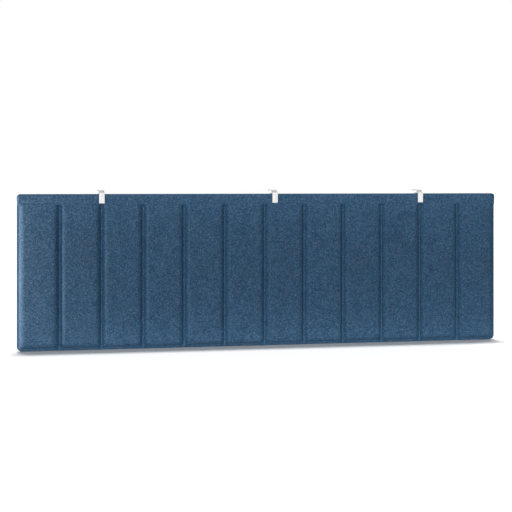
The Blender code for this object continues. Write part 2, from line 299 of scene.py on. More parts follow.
def coat_speckle_group() -> bpy.types.NodeTree:
    """Fine orange-peel and faint handling marks, for coats, plastic and metal.

    Returns:
        A group with Vector and Peel Scale in, and Peel, Marks and Dust out.
    """
    graph, given, result = new_group(
        "coat_speckle", {"Peel Scale": 1500.0}, ("Peel", "Marks", "Dust")
    )
    vector = given.outputs["Vector"]
    drawn_out = graph.add(
        "ShaderNodeMapping",
        vector_type="TEXTURE",
        Rotation=(0.3, 0.5, 0.9),
        Scale=(9.0, 1.0, 1.0),
        Vector=vector,
    )
    scratches = graph.noise(drawn_out.outputs[0], 900.0, 3.0, distortion=0.3)
    graph.fill(
        result,
        Peel=graph.noise(vector, given.outputs["Peel Scale"], 2.0),
        Marks=graph.stretch(scratches, 0.58, 6.0),
        Dust=graph.noise(vector, 120.0, 4.0, 0.7),
    )
    return graph.tree


class NodeKit:
    """The shared node groups, made once."""

    def __init__(self) -> None:
        """Builds every group."""
        self.fibres = fibre_grain_group()
        self.speckle = coat_speckle_group()

    @staticmethod
    def place(graph: Graph, tree: bpy.types.NodeTree, **values: float) -> Node:
        """Puts a group in a material, fed by object coordinates.

        Args:
            graph: The material's graph.
            tree: The group to place.
            values: Input values under their socket names.

        Returns:
            The group node.
        """
        spot = graph.add("ShaderNodeTexCoord").outputs["Object"]
        return graph.add("ShaderNodeGroup", node_tree=tree, Vector=spot, **values)


def shader_of(name: str) -> tuple[bpy.types.Material, Graph, Node]:
    """Starts a material.

    Args:
        name: The material's name.

    Returns:
        The material, its graph and its Principled BSDF.
    """
    material = bpy.data.materials.new(name)
    material.use_nodes = True
    graph = Graph(material.node_tree)
    return material, graph, material.node_tree.nodes["Principled BSDF"]


# ---- finishes


class Finish:
    """What every finish shares: a name, a slot and the making of its material."""

    name: str
    slot: str

    def build(self, kit: NodeKit) -> bpy.types.Material:
        """Makes the material.

        Args:
            kit: The shared node groups.

        Returns:
            The finished material.
        """
        material, graph, shader = shader_of(self.name)
        self.surface(kit, graph, shader)
        return material

    def surface(self, kit: NodeKit, graph: Graph, shader: Node) -> None:
        """Fills in the shader; each kind of finish does it in its own way."""
        raise NotImplementedError


@dataclass(frozen=True)
class FeltFinish(Finish):
    """Pressed polyester felt in mixed blue fibres."""

    name: str = "slate_blue_felt"
    slot: str = "felt"
    dark: Colour = (0.006, 0.032, 0.072)
    base: Colour = (0.029, 0.067, 0.119)
    light: Colour = (0.096, 0.149, 0.214)
    # Painted shade: the first tint darkens and blues the groove walls where shade falls.
    # Painted light: the second tint lightens the groove floors as if lit.
    groove_shade_tint: Colour = (0.62, 0.80, 0.87)
    floor_light_tint: Colour = (1.36, 1.30, 1.24)
    strand_share: float = 0.40
    clump_share: float = 0.60
    fineness: float = 1.0
    bump: float = 0.00035

    @staticmethod
    def tinted(graph: Graph, colour: Socket, mask: str, tint: Colour) -> Socket:
        """Multiplies a colour by a tint, as far as a vertex attribute says."""
        share = graph.add("ShaderNodeAttribute", attribute_name=mask).outputs["Fac"]
        return graph.mix(share, colour, graph.mix(1.0, colour, tint, "MULTIPLY"))

    def surface(self, kit: NodeKit, graph: Graph, shader: Node) -> None:
        """Mixes the fibres' colours, then paints shade on the groove walls and paints light
        on the groove floors.
        """
        grain = kit.place(graph, kit.fibres, Fineness=self.fineness)
        blend = graph.maths(
            "ADD",
            graph.maths("MULTIPLY", grain.outputs["Strands"], self.strand_share),
            graph.maths("MULTIPLY", grain.outputs["Clumps"], self.clump_share),
        )
        fibres = graph.ramp(
            blend, ((0.15, self.dark), (0.46, self.base), (0.80, self.light))
        )
        shade = graph.ramp(
            grain.outputs["Mottle"], ((0.0, (0.90,) * 3), (1.0, (1.08,) * 3))
        )
        mottled = graph.mix(1.0, fibres, shade, "MULTIPLY")
        # Painted shade: darkens and blues the groove walls where shade falls in the grooves.
        groove_shaded = self.tinted(graph, mottled, "painted_groove_shade", self.groove_shade_tint)
        # Painted light: lightens the groove floors as if light fell there.
        graph.fill(
            shader,
            Base_Color=self.tinted(graph, groove_shaded, "painted_floor_light", self.floor_light_tint),
            Normal=graph.bump(grain.outputs["Height"], self.bump),
            Roughness=0.95,
            Specular_IOR_Level=0.08,
            Sheen_Weight=0.02,
            Sheen_Roughness=0.45,
        )


@dataclass(frozen=True)
class BattFinish(Finish):
    """Loose grey-white polyester wadding."""

    name: str = "loose_wadding"
    slot: str = "batting"
    dark: Colour = (0.42, 0.43, 0.45)
    light: Colour = (0.74, 0.75, 0.77)

    def surface(self, kit: NodeKit, graph: Graph, shader: Node) -> None:
        """Lays coarse fibres over a pale ground."""
        height = kit.place(graph, kit.fibres, Fineness=0.45).outputs["Height"]
        graph.fill(
            shader,
            Base_Color=graph.ramp(height, ((0.1, self.dark), (0.9, self.light))),
            Normal=graph.bump(height, 0.0012),
            Roughness=1.0,
            Specular_IOR_Level=0.1,
        )


@dataclass(frozen=True)
class WoodFinish(Finish):
    """Plain planed softwood with its grain along X."""

    name: str = "planed_batten"
    slot: str = "batten_wood"
    early: Colour = (0.62, 0.44, 0.26)
    late: Colour = (0.42, 0.26, 0.13)

    def surface(self, kit: NodeKit, graph: Graph, shader: Node) -> None:
        """Draws the year rings out along the batten."""
        spot = graph.add("ShaderNodeTexCoord").outputs["Object"]
        along = graph.add("ShaderNodeMapping", Scale=(0.06, 1.0, 1.0), Vector=spot)
        rings = graph.noise(along.outputs[0], 420.0, 4.0, distortion=1.2)
        marks = kit.place(graph, kit.speckle, Peel_Scale=900.0)
        graph.fill(
            shader,
            Base_Color=graph.ramp(rings, ((0.35, self.late), (0.65, self.early))),
            Normal=graph.bump(marks.outputs["Peel"], 0.0002, 0.5),
            Roughness=0.75,
        )


@dataclass(frozen=True)
class CoatFinish(Finish):
    """A powder coat, a moulded plastic or a plated metal."""

    name: str
    slot: str
    colour: Colour
    roughness: float
    metallic: float = 0.0
    peel_scale: float = 1600.0
    peel_depth: float = 0.00006
    mark_shade: float = 0.9
    dust_shade: float = 0.96
    roughness_spread: float = 0.16

    def surface(self, kit: NodeKit, graph: Graph, shader: Node) -> None:
        """Varies the colour and the roughness a little over the coat."""
        speckle = kit.place(graph, kit.speckle, Peel_Scale=self.peel_scale)
        dust = speckle.outputs["Dust"]
        marked = tuple(channel * self.mark_shade for channel in self.colour)
        dusty = tuple(channel * self.dust_shade for channel in self.colour)
        clean = graph.ramp(dust, ((0.3, dusty), (0.7, self.colour)))
        uneven = graph.maths("MULTIPLY", dust, self.roughness_spread)
        smoothest = self.roughness - self.roughness_spread / 2
        graph.fill(
            shader,
            Base_Color=graph.mix(speckle.outputs["Marks"], clean, marked),
            Roughness=graph.maths("ADD", uneven, smoothest),
            Normal=graph.bump(speckle.outputs["Peel"], self.peel_depth),
            Metallic=self.metallic,
        )


FELT = FeltFinish()
BATT = BattFinish()
WOOD = WoodFinish()
WHITE = CoatFinish("white_powder_coat", "white_coat", (0.80, 0.80, 0.79), 0.42)
GREY = CoatFinish("grey_powder_coat", "grey_coat", (0.55, 0.55, 0.56), 0.45)
ZINC = CoatFinish(
    "bright_zinc", "zinc_steel", (0.62, 0.63, 0.65), 0.32, 1.0, 2600.0, 0.00003, 0.75, 0.85
)
RUBBER = CoatFinish(
    "clamp_rubber", "clamp_rubber", (0.035, 0.035, 0.037), 0.82, 0.0, 2200.0, 0.0001
)
PLASTIC = CoatFinish(
    "knob_plastic", "knob_plastic", (0.80, 0.80, 0.79), 0.5, 0.0, 3000.0, 0.00005
)


class Dresser:
    """Makes each finish once and puts it on pieces."""

    def __init__(self, kit: NodeKit) -> None:
        """Keeps the shared groups and an empty store of materials."""
        self.kit = kit
        self.made: dict[str, bpy.types.Material] = {}

    def dress(self, obj: Piece, finish: Finish) -> None:
        """Gives an object one finish.

        Args:
            obj: A new piece or a carried-over node.
            finish: What to cover it with.
        """
        if finish.name not in self.made:
            self.made[finish.name] = finish.build(self.kit)
        obj.data.materials.clear()
        obj.data.materials.append(self.made[finish.name])


# ---- mesh helpers


def linked(name: str, data: bpy.types.ID) -> Piece:
    """Makes an object for some data and puts it in the scene."""
    obj = bpy.data.objects.new(name, data)
    bpy.context.scene.collection.objects.link(obj)
    return obj


def piece_from(name: str, bm: bmesh.types.BMesh, sharp: float = 40.0) -> Piece:
    """Turns a bmesh into a smooth-shaded object in the scene.

    Args:
        name: The piece's name.
        bm: The mesh, which is freed.
        sharp: The angle in degrees over which an edge stays sharp.

    Returns:
        The new object.
    """
    bmesh.ops.recalc_face_normals(bm, faces=bm.faces)
    mesh = bpy.data.meshes.new(name)
    bm.to_mesh(mesh)
    bm.free()
    mesh.shade_smooth()
    mesh.set_sharp_from_angle(angle=math.radians(sharp))
    return linked(name, mesh)


def skin_rings(bm: bmesh.types.BMesh, rings: Iterable[Ring], capped: bool = True) -> None:
    """Joins closed rings of points into a tube.

    Args:
        bm: The mesh to add to.
        rings: Rings with the same number of points each.
        capped: Whether the ends are filled; if not, the last ring joins the first.
    """
    rows = [[bm.verts.new(point) for point in ring] for ring in rings]
    pairs = list(zip(rows, rows[1:]))
    if not capped:
        pairs.append((rows[-1], rows[0]))
    for low, high in pairs:
        for k, start in enumerate(low):
            after = (k + 1) % len(low)
            bm.faces.new((start, low[after], high[after], high[k]))
    if capped:
        bm.faces.new(list(reversed(rows[0])))
        bm.faces.new(rows[-1])


def turned(
    profile: Sequence[Flat],
    segments: int,
    shape: Callable[[float, float, float], float] | None = None,
) -> list[Ring]:
    """Rings of a form turned about the Y axis.

    Args:
        profile: Radius and Y of each ring.
        segments: Points in a ring.
        shape: Gives the radius from angle, radius and Y where it isn't round.

    Returns:
        The rings, in the profile's order.
    """
    rings = []
    for radius, y in profile:
        ring = []
        for k in range(segments):
            angle = 2 * math.pi * k / segments
            reach = shape(angle, radius, y) if shape else radius
            ring.append((reach * math.cos(angle), y, reach * math.sin(angle)))
        rings.append(ring)
    return rings


def quarter(
    centre: Flat, radius: float, start: int, turn: int, steps: int = 4
) -> list[Flat]:
    """Points on a quarter circle.

    Args:
        centre: The circle's centre.
        radius: Its radius.
        start: Where the first point stands, in quarter turns.
        turn: 1 to go anticlockwise and -1 to go clockwise.
        steps: Pieces in the arc.

    Returns:
        The points.
    """
    angles = [math.pi / 2 * (start + turn * k / steps) for k in range(steps + 1)]
    return [
        (centre[0] + radius * math.cos(a), centre[1] + radius * math.sin(a)) for a in angles
    ]


def rounded_path(
    corners: Sequence[Flat], radius: float, steps: int = 8
) -> list[Flat]:
    """A path in (y, z) with its square corners turned into arcs.

    Args:
        corners: The path's corners, joined by level and upright runs.
        radius: The arcs' radius.
        steps: Pieces in each arc.

    Returns:
        The path's points.
    """
    path = [corners[0]]
    for before, corner, after in zip(corners, corners[1:], corners[2:]):
        into = (Vector(corner) - Vector(before)).normalized()
        away = (Vector(after) - Vector(corner)).normalized()
        centre = Vector(corner) - radius * into + radius * away
        for step in range(steps + 1):
            angle = math.pi / 2 * step / steps
            spot = centre - radius * math.cos(angle) * away
            spot += radius * math.sin(angle) * into
            path.append(tuple(spot))
    path.append(corners[-1])
    return path


def spaced(path: Sequence[Flat], step: float) -> list[Vector]:
    """Adds points to a path so that none are further apart than a step."""
    points = [Vector(path[0])]
    for spot in path[1:]:
        start = points[-1].copy()
        run = Vector(spot) - start
        count = max(1, math.ceil(run.length / step))
        points += [start + run * (k + 1) / count for k in range(count)]
    return points


@dataclass
class StripStock:
    """Flat strip that a press bends along a path."""

    width: float
    sheet: float
    edge_radius: float = 0.0005
    end_radius: float = 0.0015
    step: float = 0.004

    def section(self, narrow: float, thin: float) -> list[Flat]:
        """The strip's cross-section.

        Args:
            narrow: How much less than the full half width it reaches.
            thin: How much less than the full half thickness it reaches.

        Returns:
            Points as (across, through), round the section.
        """
        across = self.width / 2 - narrow
        through = self.sheet / 2 - thin
        radius = min(self.edge_radius, through * 0.9)
        points = []
        for corner, (a, t) in enumerate(((1, 1), (-1, 1), (-1, -1), (1, -1))):
            for step in range(4):
                angle = math.pi / 2 * (corner + step / 3)
                points.append(
                    (
                        a * (across - radius) + radius * math.cos(angle),
                        t * (through - radius) + radius * math.sin(angle),
                    )
                )
        return points

    def bend(self, path: Sequence[Flat]) -> bmesh.types.BMesh:
        """Sweeps the section along a path.

        Args:
            path: The sheet's middle line in (y, z).

        Returns:
            A closed mesh, centred on X = 0.
        """
        points = spaced(path, self.step)
        points = self.rounded_ends(points)
        rings = []
        total = self.length_of(points)
        walked = 0.0
        for k, spot in enumerate(points):
            if k:
                walked += (spot - points[k - 1]).length
            before = points[max(k - 1, 0)]
            after = points[min(k + 1, len(points) - 1)]
            run = (after - before).normalized()
            normal = Vector((-run.y, run.x))
            from_end = min(walked, total - walked)
            narrow = self.end_inset(from_end, self.end_radius)
            thin = self.end_inset(from_end, self.edge_radius)
            ring = []
            for across, through in self.section(narrow, thin):
                place = spot + normal * through
                ring.append((across, place.x, place.y))
            rings.append(ring)
        bm = bmesh.new()
        skin_rings(bm, rings)
        return bm

    def rounded_ends(self, points: list[Vector]) -> list[Vector]:
        """Adds close points at both ends, where the strip's corners are rounded."""
        shares = [math.sin(math.pi / 12 * k) for k in range(6)]
        marks = [self.end_radius * (1 - math.cos(math.asin(s))) for s in shares]
        marks = sorted({*marks, self.end_radius, self.edge_radius * 0.3, self.edge_radius})
        start, end = points[0], points[-1]
        into = (points[1] - start).normalized()
        back = (points[-2] - end).normalized()
        head = [start + into * mark for mark in marks]
        tail = [end + back * mark for mark in reversed(marks)]
        inner = [
            p
            for p in points
            if (p - start).length > self.end_radius * 1.2
            and (p - end).length > self.end_radius * 1.2
        ]
        return head + inner + tail

    @staticmethod
    def end_inset(distance: float, radius: float) -> float:
        """How far a rounded corner pulls in at a distance from the end."""
        left = max(radius - distance, 0.0)
        return radius - math.sqrt(max(radius**2 - left**2, 0.0))

    @staticmethod
    def length_of(points: Sequence[Vector]) -> float:
        """The length of a line through points."""
        return sum((b - a).length for a, b in zip(points, points[1:]))


def drilled(
    piece: Piece, radius: float, start: Place, end: Place
) -> Piece:
    """Drills a round hole through a piece.

    Args:
        piece: The mesh to drill.
        radius: The hole's radius.
        start: One end of the drill's line, outside the piece.
        end: The other end.

    Returns:
        The same piece, with the hole in its mesh.
    """
    run = Vector(end) - Vector(start)
    turn = run.to_track_quat("Z", "Y").to_matrix().to_4x4()
    bm = bmesh.new()
    bmesh.ops.create_cone(
        bm,
        cap_ends=True,
        segments=48,
        radius1=radius,
        radius2=radius,
        depth=run.length,
        matrix=Matrix.Translation((Vector(start) + Vector(end)) / 2) @ turn,
    )
    drill = piece_from("drill", bm)
    modifier = piece.modifiers.new("drill", "BOOLEAN")
    modifier.operation = "DIFFERENCE"
    modifier.solver = "EXACT"
    modifier.object = drill
    graph = bpy.context.evaluated_depsgraph_get()
    cut = bpy.data.meshes.new_from_object(piece.evaluated_get(graph))
    piece.modifiers.clear()
    old = piece.data
    piece.data = cut
    cut.name = piece.name
    cut.shade_smooth()
    cut.set_sharp_from_angle(angle=math.radians(40))
    bpy.data.objects.remove(drill)
    bpy.data.meshes.remove(old)
    return piece


# ---- panel


def felt_name(facing: Facing) -> str:
    """Name of the shell on one face of the panel."""
    return f"moulded_{facing.name.lower()}_felt"


@dataclass
class FeltPanel:
    """The two moulded shells, their batts and the batten in the top band."""

    pad_count: int = 12
    skin: float = 0.0032
    rim_width: float = 0.0075
    side_rim_width: float = 0.0065
    flank_width: float = 0.015
    groove_floor: float = 0.006
    shoulder_width: float = 0.0155
    shoulder_fullness: float = 0.72
    band_height: float = 0.0250
    band_shoulder_width: float = 0.0095
    band_edge_radius: float = 0.005
    rim_edge_radius: float = 0.0011
    draft: float = 0.001
    top_corner: float = 0.0095
    bottom_corner: float = 0.014
    crease_drop: float = 0.0262
    crease_width: float = 0.0032
    crease_depth: float = 0.0007
    fine_step: float = 0.0012
    broad_step: float = 0.010
    waviness: float = 0.00022
    long_wave: float = 17.0
    short_wave: float = 43.0
    short_wave_share: float = 0.6
    # These set where the painted shade on groove walls and the painted light on groove floors
    # fall.
    wall_margin: float = 0.0004
    wall_fade: float = 1.1
    wall_gain: float = 3.0
    floor_light_depth: float = 0.9

    def __post_init__(self) -> None:
        """Reads the panel's box from the frame."""
        low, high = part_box("front_shell")
        self.half_width = high.x
        self.top = high.z
        self.height = high.z - low.z
        self.mating = -high.y
        self.half_thickness = -low.y
        self.pitch = 2 * self.half_width / self.pad_count
        self.rim_level = self.mating + self.skin
        self.relief = self.half_thickness - self.rim_level
        self.grooves = [
            -self.half_width + k * self.pitch for k in range(1, self.pad_count)
        ]

    def groove_distance(self, x: float) -> float:
        """Distance from the middle of the nearest groove."""
        return min(abs(x - place) for place in self.grooves)

    def shoulder(self, distance: float, width: float) -> float:
        """Rise from 0 to 1 over a width, steep at the foot and level at the top."""
        share = min(max(distance / width, 0.0), 1.0)
        return (1 - (1 - share) ** 2) ** self.shoulder_fullness

    def edge_limit(self, side: float, drop: float) -> float:
        """Highest level that the panel's rounded outer edge allows.

        Args:
            side: Distance in from the nearer end.
            drop: Distance below the top edge.

        Returns:
            The level above the rim.
        """
        distance = max(min(side, drop), 0.0)
        wall = self.relief - self.band_edge_radius
        if distance <= self.draft:
            return wall * distance / self.draft
        left = max(self.band_edge_radius - (distance - self.draft), 0.0)
        return wall + math.sqrt(self.band_edge_radius**2 - left**2)

    def level(self, x: float, drop: float, inset: float = 0.0) -> float:
        """Height of the moulded face above the rim.

        Args:
            x: Place along the panel.
            drop: Distance below the top edge.
            inset: How far inside the outer face this surface lies.

        Returns:
            The level, from 0 to the full relief.
        """
        side = self.half_width - abs(x) - inset
        lower = self.height - drop - inset
        groove = self.groove_distance(x) - inset
        pad = self.shoulder(groove - self.groove_floor / 2, self.shoulder_width)
        pad *= self.shoulder(side - self.side_rim_width, self.shoulder_width)
        pad *= self.shoulder(lower - self.rim_width, self.flank_width)
        reach = self.band_height + self.band_shoulder_width - inset
        band = self.shoulder(reach - drop, self.band_shoulder_width)
        level = self.relief * (1 - (1 - pad) * (1 - band))
        return min(level, self.edge_limit(side, drop - inset))

    def outer_depth(self, x: float, drop: float) -> float:
        """Distance of the felt's outer face from the panel's middle plane."""
        level = self.level(x, drop)
        share = level / self.relief
        crease = (drop - self.crease_drop) / self.crease_width
        level -= self.crease_depth * math.exp(-crease * crease) * share**4
        spot = Vector((x, drop, 0.0))
        wave = noise.noise(spot * self.long_wave)
        finer = noise.noise(spot * self.short_wave + Vector((0.0, 0.0, 5.0)))
        wave += self.short_wave_share * finer
        level -= self.waviness * (1 + wave) * share
        nearest = max(min(self.half_width - abs(x), drop, self.height - drop), 0.0)
        left = max(self.rim_edge_radius - nearest, 0.0)
        rounding = self.rim_edge_radius - math.sqrt(self.rim_edge_radius**2 - left**2)
        return self.rim_level + level - rounding

    def inner_depth(self, x: float, drop: float) -> float:
        """Distance of the felt's inner face from the panel's middle plane."""
        return self.mating + self.level(x, drop, self.skin)

    def groove_shade_share(self, x: float, drop: float) -> float:
        """Share of painted shade on a groove's wall, from 0 on the pad to 1 at its foot."""
        groove = self.groove_distance(x)
        up = max(groove - self.groove_floor / 2, 0.0) / self.shoulder_width
        depth = 1 - self.level(x, drop) / self.relief
        near_end = self.half_width - abs(x) < self.pitch / 2
        if near_end or groove < self.groove_floor / 2 - self.wall_margin:
            return 0.0
        return max(1 - up, 0.0) ** self.wall_fade * min(depth * self.wall_gain, 1.0)

    def floor_light_share(self, x: float, drop: float) -> float:
        """Share of painted light on a groove's deep floor, from 0 to 1."""
        groove = self.groove_distance(x)
        depth = 1 - self.level(x, drop) / self.relief
        on_floor = groove < self.groove_floor / 2 - self.wall_margin
        return 1.0 if on_floor and depth > self.floor_light_depth else 0.0

    def stations(self, length: float, fine: Sequence[Flat]) -> list[float]:
        """Grid places along a length, close together in some stretches and at the ends.

        Args:
            length: The whole length.
            fine: Start and end of each stretch that needs close places.

        Returns:
            The places, in order.
        """
        marks = {0.0, length}
        for low, high in fine:
            count = max(2, math.ceil((high - low) / self.fine_step))
            marks |= {low + (high - low) * k / count for k in range(count + 1)}
        edges = sorted(marks)
        for low, high in zip(edges, edges[1:]):
            count = math.ceil((high - low) / self.broad_step)
            marks |= {low + (high - low) * k / count for k in range(1, count)}
        tight = [k * self.rim_edge_radius / 4 for k in range(5)]
        tight += [self.draft * 1.5, self.draft * 2]
        places = [*marks, *tight, *(length - distance for distance in tight)]
        return sorted({round(place, 6) for place in places})

    def columns(self) -> list[float]:
        """X of each column of the grid."""
        length = 2 * self.half_width
        end = self.side_rim_width + self.shoulder_width
        reach = self.groove_floor / 2 + self.shoulder_width
        fine = [(0.002, end), (length - end, length - 0.002)]
        fine += [
            (place + self.half_width - reach, place + self.half_width + reach)
            for place in self.grooves
        ]
        return [place - self.half_width for place in self.stations(length, fine)]

    def rows(self) -> list[float]:
        """Drop below the top edge of each row of the grid."""
        end = self.rim_width + self.flank_width
        fine = [
            (0.002, 0.009),
            (self.crease_drop - 0.006, self.band_height + self.band_shoulder_width),
            (self.height - end, self.height - 0.002),
        ]
        return self.stations(self.height, fine)

    def round_corner(self, x: float, drop: float) -> Flat:
        """Moves a point near a corner so that the outline there is an arc."""
        top = drop < self.height / 2
        radius = self.top_corner if top else self.bottom_corner
        across = (radius - (self.half_width - abs(x))) / radius
        along = (radius - (drop if top else self.height - drop)) / radius
        if across <= 0 or along <= 0:
            return x, drop
        side = radius * across * math.sqrt(1 - along**2 / 2)
        end = radius * along * math.sqrt(1 - across**2 / 2)
        new_x = math.copysign(self.half_width - radius + side, x)
        new_drop = radius - end if top else self.height - radius + end
        return new_x, new_drop

    def shell(self, facing: Facing) -> Piece:
        """Makes one moulded shell as a closed felt skin.

        Args:
            facing: Front or back.

        Returns:
            The shell.
        """
        columns, rows = self.columns(), self.rows()
        bm = bmesh.new()
        # Vertex masks for the painted shade on groove walls and the painted light on groove
        # floors.
        painted_groove_shade = bm.verts.layers.float.new("painted_groove_shade")
        painted_floor_light = bm.verts.layers.float.new("painted_floor_light")
        layers = []
        for depth_of in (self.outer_depth, self.inner_depth):
            grid = []
            for drop in rows:
                line = []
                for x in columns:
                    depth = facing.value * depth_of(x, drop)
                    new_x, new_drop = self.round_corner(x, drop)
                    line.append(bm.verts.new((new_x, depth, self.top - new_drop)))
                grid.append(line)
            layers.append(grid)
        for grid in layers:
            for upper, lower in zip(grid, grid[1:]):
                for k in range(len(columns) - 1):
                    bm.faces.new((upper[k], upper[k + 1], lower[k + 1], lower[k]))
        for drop, line in zip(rows, layers[0]):
            for x, vert in zip(columns, line):
                vert[painted_groove_shade] = self.groove_shade_share(x, drop)
                vert[painted_floor_light] = self.floor_light_share(x, drop)
        outer, inner = (self.border(grid) for grid in layers)
        for k, start in enumerate(outer):
            after = (k + 1) % len(outer)
            bm.faces.new((start, outer[after], inner[after], inner[k]))
        return piece_from(felt_name(facing), bm, sharp=50.0)

    @staticmethod
    def border(grid: list[list[bmesh.types.BMVert]]) -> list[bmesh.types.BMVert]:
        """The points round a grid's edge, in order."""
        right = [line[-1] for line in grid[1:-1]]
        left = [line[0] for line in grid[1:-1]]
        return grid[0] + right + grid[-1][::-1] + left[::-1]

    def batt(self, number: int) -> Piece:
        """Makes one batt of wadding with soft edges, inside its pad.

        Args:
            number: Which batt, from 1.

        Returns:
            The batt.
        """
        low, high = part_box(f"pad_batt_{number:02d}")
        middle, half = (low + high) / 2, (high - low) / 2
        bm = bmesh.new()
        bmesh.ops.create_cube(bm, size=2.0)
        bmesh.ops.subdivide_edges(bm, edges=bm.edges, cuts=11, use_grid_fill=True)
        for vert in bm.verts:
            spot = vert.co.copy()
            edge = max(abs(spot.x), abs(spot.z))
            spot.y *= (1 - edge**8 * 0.55) ** 0.9
            spot.x *= 1 - 0.04 * abs(spot.z) ** 10
            spot.z *= 1 - 0.012 * abs(spot.x) ** 10
            wave = noise.noise(Vector((spot.x * 2.3, spot.z * 7.0, number * 3.1)))
            spot.y *= 0.93 + 0.06 * wave
            vert.co = Vector(a * b for a, b in zip(spot, half)) + middle
        return piece_from(f"wadding_batt_{number:02d}", bm, sharp=80.0)

    def build(self, dresser: Dresser, nodes: dict[str, Piece]) -> None:
        """Makes and dresses every piece of the panel.

        Args:
            dresser: Puts finishes on pieces.
            nodes: The frame's nodes by name.
        """
        for facing, node in ((Facing.FRONT, "front_shell"), (Facing.BACK, "back_shell")):
            shell = self.shell(facing)
            dresser.dress(shell, FELT)
            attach(shell, "panel")
            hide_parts(node)
            log.info("%s stands for %s", shell.name, node)
        for number in range(1, self.pad_count + 1):
            batt = self.batt(number)
            dresser.dress(batt, BATT)
            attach(batt, "panel")
            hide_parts(f"pad_batt_{number:02d}")
            log.info("%s fills a pad", batt.name)
        dresser.dress(nodes["top_batten"], WOOD)
        log.info("top_batten is dressed in wood")


# ---- hangers


@dataclass
class Hanger:
    """One hanger: clip, arm, nut, clamp screw, knob and foot."""

    side: Side
    sheet: float = 0.002
    arm_sheet: float = 0.0025
    clip_bend: float = 0.002
    arm_bend: float = 0.0022
    hole_play: float = 0.0003
    desk_hole_radius: float = 0.00225
    desk_hole_end: float = 0.0065
    thread_pitch: float = 0.001
    thread_depth: float = 0.00045
    knob_lobes: int = 8
    knob_lobe_depth: float = 0.0008
    knob_socket: float = 0.006
    knob_inner_round: float = 0.0012
    knob_outer_round: float = 0.0018
    knob_dish: float = 0.0007
    knob_dish_lip: float = 0.0005
    knob_lead_in: float = 0.0004
    foot_socket: float = 0.0024
    foot_slope: float = 0.0012
    foot_round: float = 0.0009
    foot_lead_in: float = 0.0003
    clip_front_leg: float = 0.027
    arm_riser_setback: float = 0.012

    def __post_init__(self) -> None:
        """Reads the hanger's places from the frame."""
        self.label = self.side.value
        self.boxes = {
            kind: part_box(f"{kind}_{self.label}")
            for kind in ("clip", "arm", "clamp_nut", "clamp_screw", "clamp_knob", "clamp_pad")
        }
        low, high = self.boxes["clip"]
        self.width = high.x - low.x
        self.x = (low.x + high.x) / 2
        screw_low, screw_high = self.boxes["clamp_screw"]
        self.axis_z = (screw_low.z + screw_high.z) / 2
        self.screw_radius = (screw_high.x - screw_low.x) / 2

    def finish_piece(
        self,
        piece: Piece,
        dresser: Dresser,
        finish: CoatFinish,
        body: str,
        node: str,
    ) -> None:
        """Puts a piece in place, dresses it and ties it to the frame.

        Args:
            piece: The piece, made about X = 0.
            dresser: Puts finishes on pieces.
            finish: The piece's finish.
            body: The body that it rides on.
            node: The node that it stands for.
        """
        piece.location.x = self.x
        dresser.dress(piece, finish)
        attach(piece, f"{body}_{self.label}")
        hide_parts(f"{node}_{self.label}")
        log.info("%s rides on %s_%s", piece.name, body, self.label)

    def clip(self) -> Piece:
        """Makes the U-shaped clip, with the screw's hole in its rear leg."""
        low, high = self.boxes["clip"]
        half = self.sheet / 2
        front, back = low.y + half, high.y - half
        web = high.z - half
        front_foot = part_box("front_shell")[1].z - self.clip_front_leg
        corners = [(front, front_foot), (front, web), (back, web), (back, low.z)]
        stock = StripStock(self.width, self.sheet)
        bm = stock.bend(rounded_path(corners, self.clip_bend))
        piece = piece_from(f"white_clip_{self.label}", bm)
        hole = self.screw_radius + self.hole_play
        reach = self.sheet * 2
        return drilled(
            piece, hole, (0, back - reach, self.axis_z), (0, back + reach, self.axis_z)
        )

    def arm(self) -> Piece:
        """Makes the cranked arm, with the desk screw's hole in its plate."""
        low, high = self.boxes["arm"]
        half = self.arm_sheet / 2
        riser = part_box("front_shell")[0].y + self.arm_riser_setback
        foot, plate = low.z + half, high.z - half
        corners = [(low.y, foot), (riser, foot), (riser, plate), (high.y, plate)]
        stock = StripStock(self.width, self.arm_sheet)
        bm = stock.bend(rounded_path(corners, min(self.arm_bend, 0.45 * (plate - foot))))
        piece = piece_from(f"grey_arm_{self.label}", bm)
        y = high.y - self.desk_hole_end
        return drilled(
            piece, self.desk_hole_radius, (0, y, plate - 0.01), (0, y, plate + 0.01)
        )

    def spun(
        self,
        name: str,
        profile: Sequence[Flat],
        segments: int,
        sharp: float,
        shape: Callable[[float, float, float], float] | None = None,
        capped: bool = True,
    ) -> Piece:
        """Turns a profile about the screw's axis.

        Args:
            name: The piece's name, without its side.
            profile: Radius and Y of each ring.
            segments: Points in a ring.
            sharp: The angle in degrees over which an edge stays sharp.
            shape: Gives the radius where it isn't round, as in turned.
            capped: Whether the ends are filled, as in skin_rings.

        Returns:
            The piece.
        """
        bm = bmesh.new()
        skin_rings(bm, turned(profile, segments, shape), capped)
        bmesh.ops.translate(bm, verts=bm.verts, vec=(0, 0, self.axis_z))
        return piece_from(f"{name}_{self.label}", bm, sharp)

    def nut(self) -> Piece:
        """Makes the hexagonal nut with chamfered corners."""
        low, high = self.boxes["clamp_nut"]
        flat = (high.x - low.x) / 2
        bore = self.screw_radius + self.hole_play
        chamfer = 0.0006

        def hexagon(angle: float, radius: float, y: float) -> float:
            """Radius of the hexagon's wall, no more than the chamfer allows."""
            if radius < flat * 0.9:
                return radius
            turn = (angle + math.pi / 6) % (math.pi / 3) - math.pi / 6
            return min(flat / math.cos(turn), radius)

        corner = flat / math.cos(math.pi / 6)
        profile = [
            (bore, low.y + chamfer / 2),
            (bore + chamfer / 2, low.y),
            (flat, low.y),
            (corner, low.y + chamfer),
            (corner, high.y - chamfer),
            (flat, high.y),
            (bore + chamfer / 2, high.y),
            (bore, high.y - chamfer / 2),
        ]
        return self.spun("weld_nut", profile, 72, 25.0, hexagon, capped=False)

